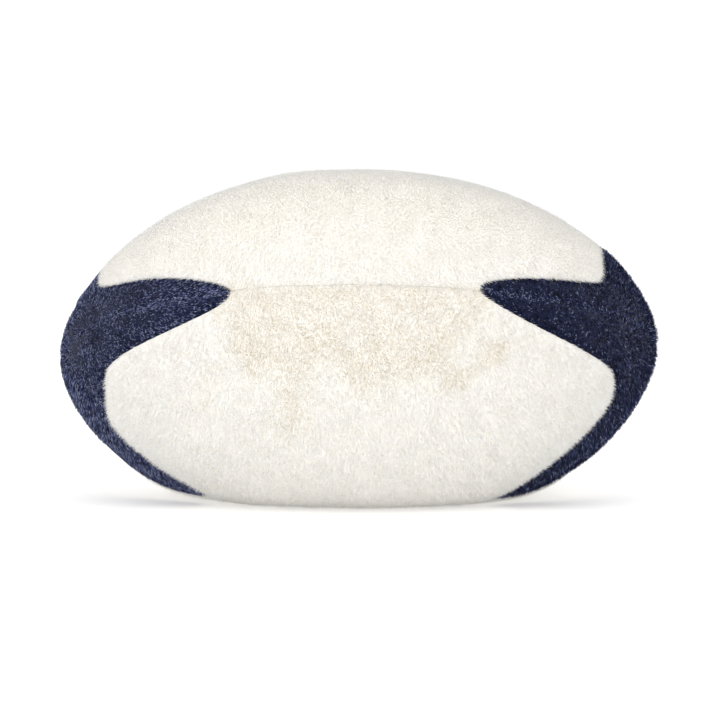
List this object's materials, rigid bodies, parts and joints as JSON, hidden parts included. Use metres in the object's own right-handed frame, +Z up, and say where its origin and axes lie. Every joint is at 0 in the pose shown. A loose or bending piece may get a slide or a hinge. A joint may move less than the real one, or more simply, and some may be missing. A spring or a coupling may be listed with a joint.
{
  "type": "plush rugby ball",
  "caption": "Stuffed plush rugby ball with a flat base: cream pile panels, navy pile ends, hidden seams, fibre filling and a weighted pellet bag.",
  "frame": {"origin": "middle of the flat base, at the bottom centre of the bounding box", "axes": "+X along the ball's long axis towards the right tip, -Y towards the pictured side, +Z up"},
  "size_m": [0.3, 0.183, 0.1645],
  "materials": {
    "cream_plush": "matte",
    "navy_plush": "matte",
    "sewing_thread": "satin",
    "polyester_fibre": "matte",
    "bag_cloth": "matte",
    "pellet_plastic": "satin"
  },
  "bodies": {
    "root": {"cream_panel_front_lower": "cream_plush", "cream_panel_front_upper": "cream_plush", "cream_panel_rear_upper": "cream_plush", "cream_panel_rear_lower": "cream_plush", "navy_end_left_front_lower": "navy_plush", "navy_end_left_front_upper": "navy_plush", "navy_end_left_rear_upper": "navy_plush", "navy_end_left_rear_lower": "navy_plush", "navy_end_right_front_lower": "navy_plush", "navy_end_right_front_upper": "navy_plush", "navy_end_right_rear_upper": "navy_plush", "navy_end_right_rear_lower": "navy_plush", "seam_thread_front": "sewing_thread", "seam_thread_top": "sewing_thread", "seam_thread_rear": "sewing_thread", "seam_thread_base": "sewing_thread", "closing_stitch": "sewing_thread", "end_thread_left_front_lower": "sewing_thread", "end_thread_left_front_upper": "sewing_thread", "end_thread_left_rear_upper": "sewing_thread", "end_thread_left_rear_lower": "sewing_thread", "end_thread_right_front_lower": "sewing_thread", "end_thread_right_front_upper": "sewing_thread", "end_thread_right_rear_upper": "sewing_thread", "end_thread_right_rear_lower": "sewing_thread", "fibre_filling": "polyester_fibre", "pellet_bag_top": "bag_cloth", "pellet_bag_base": "bag_cloth", "pellet_bag_thread": "sewing_thread", "pellets": "pellet_plastic"}
  },
  "joints": []
}
